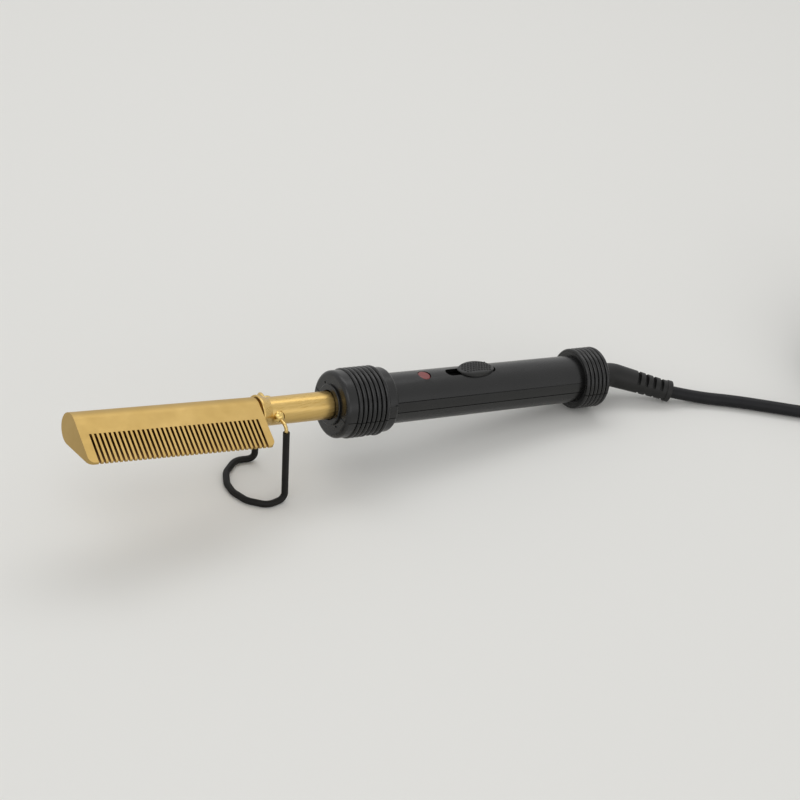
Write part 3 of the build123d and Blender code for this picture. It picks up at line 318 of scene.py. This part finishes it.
for axis, (middle, half) in (("X", SLOT_ROW), ("Y", SLOT_DEPTH)):
    inside = add_node(tree, "Math", {"operation": "COMPARE"}, n0=place.outputs[axis], n1=middle * MM,
                      n2=half * MM)
    sawn = add_node(tree, "Math", {"operation": "MULTIPLY"}, n0=sawn.outputs[0], n1=inside.outputs[0])
# The dark brown is painted shade for the deep slots, mixed over the cast colour.
slot_painted_shade = add_node(tree, "Mix", {"data_type": "RGBA"}, n0=sawn.outputs[0], n6=cast_colour,
                   n7=linear("#8c6428"))
tree.links.new(slot_painted_shade.outputs[2], shader.inputs["Base Color"])
dress(brass_cast, "comb_head")

# ---- barrel ----
# Drawn brass tube, polished along its length with fine grit. The lines run along the barrel and stretch
# its highlights that way; they are drawn coarser than the real ones, which would be too fine to show.
brass_tube, tree, shader = new_material("brass_drawn_tube", "#cdad68", 0.3, metallic=1.0)
lines = grain(tree, 0.6, stretch=(60, 1, 1))
shade(tree, shader, lines, "#c4a35f", "#d3b474")
rough(tree, shader, lines, 0.26, 0.36)
relief(tree, shader, lines, 0.01, 0.5)
dress(brass_tube, "barrel_tube")

# ---- stand ----
# Brass-plated spring wire, bent to a foot loop, turns in two polished eyelets on the barrel. A black
# silicone sleeve covers the legs and the foot against the heat: dull and a little uneven.
brass_bright, tree, shader = new_material("brass_turned_polished", "#d6b872", 0.22, metallic=1.0)
rough(tree, shader, grain(tree, 2.0), 0.18, 0.28)
dress(brass_bright, "stand_eyelets", "swivel_contact")
wire, tree, shader = new_material("steel_wire_brass_plated", "#d2b678", 0.27, metallic=1.0)
rough(tree, shader, grain(tree, 1.2), 0.22, 0.34)
dress(wire, "stand_wire")
sleeve, tree, shader = new_material("silicone_sleeve_extruded", "#151412", 0.55, ior=1.41, gloss=0.28)
shade(tree, shader, grain(tree, 6.0), "#121110", "#1a1917")
relief(tree, shader, grain(tree, 0.8), 0.03)
dress(sleeve, "stand_sleeve", "heater_leads")

# ---- handle shells ----
# Two black polypropylene mouldings, parted along the sides and held by screws. The polished mould
# leaves a semi-gloss skin whose sheen wanders a little along the grip.
skin, tree, shader = new_material("polypropylene_moulded_gloss", "#0e0e0e", 0.24, ior=1.49, gloss=0.45)
shade(tree, shader, grain(tree, 14.0), "#0c0c0c", "#111111")
rough(tree, shader, grain(tree, 4.0, stretch=(4, 1, 1)), 0.23, 0.32)
relief(tree, shader, grain(tree, 1.4), 0.012)
dress(skin, "upper_shell", "lower_shell")

# ---- lamp ----
# Red polycarbonate lens, moulded and pressed in from inside, over a small neon bulb.
# It is coloured all through, and looks dull red while the bulb is off.
lens, tree, shader = new_material("polycarbonate_red", "#772826", 0.32, ior=1.58)
shade(tree, shader, grain(tree, 1.5), "#6e2322", "#812e2c")
dress(lens, "lamp_lens")
glass, tree, shader = new_material("neon_bulb_glass", "#e8b9a0", 0.08, ior=1.5)
shade(tree, shader, grain(tree, 1.5), "#e0a98c", "#f0c8b2")
dress(glass, "neon_lamp")

# ---- switch ----
# Thumb slide, carriage, switch body and swivel bush, moulded of glass-filled nylon, which looks matt.
# Rows of small pips on the slide's oval crown give grip.
grip, tree, shader = new_material("nylon_glass_filled", "#151514", 0.45, ior=1.53)
shade(tree, shader, grain(tree, 2.0), "#121212", "#1a1a19")
relief(tree, shader, grain(tree, 0.6), 0.03)
dress(grip, "switch_knob", "switch_carriage", "switch_body", "swivel_bush")

KNOB_MIDDLE = (83.3, 14.77)         # along the handle, and height of the crown above its axis
KNOB_CROWN_R = 46.0
PIP_FIELD = (9.6, 4.2)              # half length and half width of the pips' oval
PIP_PITCH = (1.7, 1.45)
PIP_R = 0.58
PIP_HEIGHT = 0.55
PIP_SEGMENTS = (10, 8)              # around a pip, and from top to bottom
pips = bmesh.new()
rows = int(PIP_FIELD[1] / PIP_PITCH[1])
columns = int(PIP_FIELD[0] / PIP_PITCH[0]) + 1
for row in range(-rows, rows + 1):
    shift = PIP_PITCH[0] / 2 if row % 2 else 0.0
    for column in range(-columns, columns + 1):
        x = column * PIP_PITCH[0] + shift
        y = row * PIP_PITCH[1]
        if math.hypot(x / PIP_FIELD[0], y / PIP_FIELD[1]) > 1:
            continue
        crown_z = KNOB_MIDDLE[1] - (x * x + y * y) / (2 * KNOB_CROWN_R)
        place = Matrix.Translation(Vector((KNOB_MIDDLE[0] + x, y, crown_z)) * MM)
        size = Matrix.Diagonal((PIP_R * MM, PIP_R * MM, PIP_HEIGHT * MM, 1))
        bmesh.ops.create_uvsphere(pips, u_segments=PIP_SEGMENTS[0], v_segments=PIP_SEGMENTS[1],
                                  radius=1, matrix=handle_place @ place @ size)
pip_mesh = bpy.data.meshes.new("thumb_pips")
pips.to_mesh(pip_mesh)
pips.free()
pip_mesh.polygons.foreach_set("use_smooth", [True] * len(pip_mesh.polygons))
pip_mesh.materials.append(grip)
thumb_pips = bpy.data.objects.new("thumb_pips", pip_mesh)
bpy.context.scene.collection.objects.link(thumb_pips)
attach(thumb_pips, "switch")

# ---- strain relief ----
# Injection-moulded soft PVC, cut by cross slots so that it bends with the lead.
# Its skin is matt and finely uneven.
soft_pvc, tree, shader = new_material("pvc_injection_moulded", "#141413", 0.48, ior=1.53, gloss=0.3)
shade(tree, shader, grain(tree, 7.0), "#121211", "#181716")
relief(tree, shader, grain(tree, 0.7), 0.03)
dress(soft_pvc, "strain_relief")

# ---- plug and tie ----
# Three-pin plug of the same soft PVC, with pins of polished brass. A woven hook-and-loop strap holds
# the coiled lead; its weave shows as a fine rough grain.
dress(soft_pvc, "plug_cover", "plug_plate", "fuse_holder")
dress(brass_bright, "plug_pins")
strap, tree, shader = new_material("nylon_strap_woven", "#18181a", 0.8)
relief(tree, shader, grain(tree, 0.8), 0.2)
shade(tree, shader, grain(tree, 0.9), "#121214", "#26262a")
dress(strap, "coil_tie")

# ---- inside the handle and comb ----
# Heating rod, resistor and fuse of fired ceramic, and the rod's wound mica sleeve. The retaining ring,
# screws and cut-out are zinc-plated steel, the board is laminate, and the contact holder is nylon.
ceramic, tree, shader = new_material("ceramic_fired", "#e4ded2", 0.5)
shade(tree, shader, grain(tree, 3.0), "#dad3c5", "#ebe6dc")
dress(ceramic, "heater_element", "lamp_resistor", "cartridge_fuse")
mica, tree, shader = new_material("mica_wound", "#b89c74", 0.4)
shade(tree, shader, grain(tree, 2.0), "#a78a60", "#c8b08c")
dress(mica, "heater_insulation")
zinc, tree, shader = new_material("steel_zinc_plated", "#b9bcc0", 0.3, metallic=1.0)
shade(tree, shader, grain(tree, 3.0), "#adb0b5", "#c5c8cc")
dress(zinc, "barrel_flange", "shell_screws", "thermal_fuse")
laminate, tree, shader = new_material("fibreglass_laminate", "#2f6a3c", 0.4)
shade(tree, shader, grain(tree, 1.0), "#285c34", "#377846")
dress(laminate, "circuit_board")
nylon, tree, shader = new_material("nylon_moulded_white", "#dedbd2", 0.45)
shade(tree, shader, grain(tree, 4.0), "#d5d1c7", "#e6e4dc")
dress(nylon, "contact_block")
